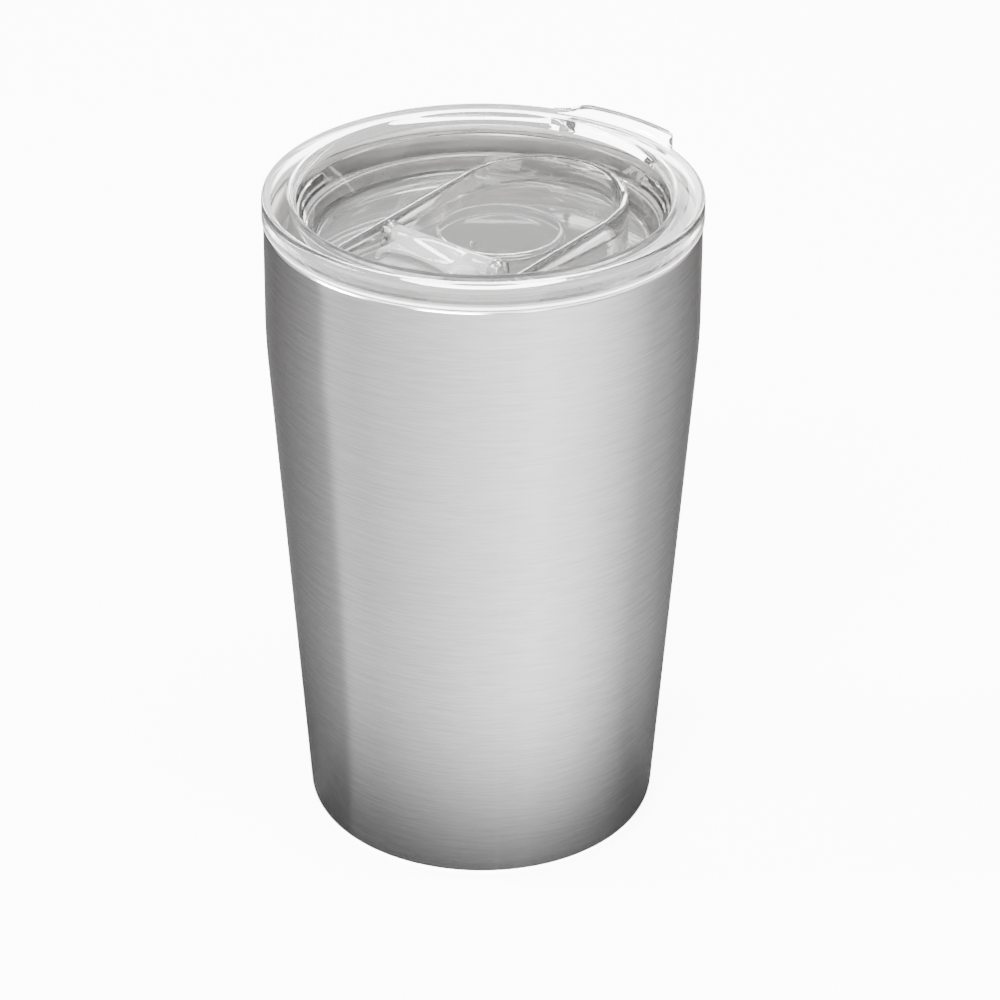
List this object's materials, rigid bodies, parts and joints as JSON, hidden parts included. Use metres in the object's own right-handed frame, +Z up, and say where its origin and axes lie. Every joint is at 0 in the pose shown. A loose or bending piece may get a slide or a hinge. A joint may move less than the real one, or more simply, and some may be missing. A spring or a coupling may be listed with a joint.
{
  "type": "insulated tumbler",
  "caption": "Double-wall stainless steel tumbler with a clear press-in lid and a hinged flip lever over the drinking slot.",
  "frame": {"origin": "centre of the flat base cover, on the surface the tumbler stands on", "axes": "+Z up along the tumbler's axis, +Y towards the lid's lift tab, -Y towards the drinking slot"},
  "size_m": [0.0876, 0.0918, 0.1384],
  "materials": {
    "outer_steel": "brushed round the body",
    "inner_steel": "satin",
    "base_steel": "satin",
    "copper_foil": "bright copper",
    "glass_solder": "fused glass",
    "getter_metal": "sintered",
    "clear_plastic": "clear polished moulding",
    "clear_silicone": "translucent"
  },
  "bodies": {
    "cup": {"outer_shell": "outer_steel", "inner_liner": "inner_steel", "radiation_foil": "copper_foil", "base_plate": "base_steel", "base_cover": "base_steel", "vacuum_seal": "glass_solder", "getter_tablet": "getter_metal"},
    "lid": {"lid_body": "clear_plastic", "lid_gasket": "clear_silicone"},
    "lever": {"flip_lever": "clear_plastic", "plug_seal": "clear_silicone"}
  },
  "joints": [
    {"name": "lid_lift", "type": "slide", "parent": "cup", "child": "lid", "axis": [0, 0, 1], "range_m": [0, 0.03]},
    {"name": "lever_flip", "type": "hinge", "parent": "lid", "child": "lever", "pos_m": [0, -0.0118, 0.1293], "axis": [-1, 0, 0], "range_deg": [0, 160]}
  ]
}
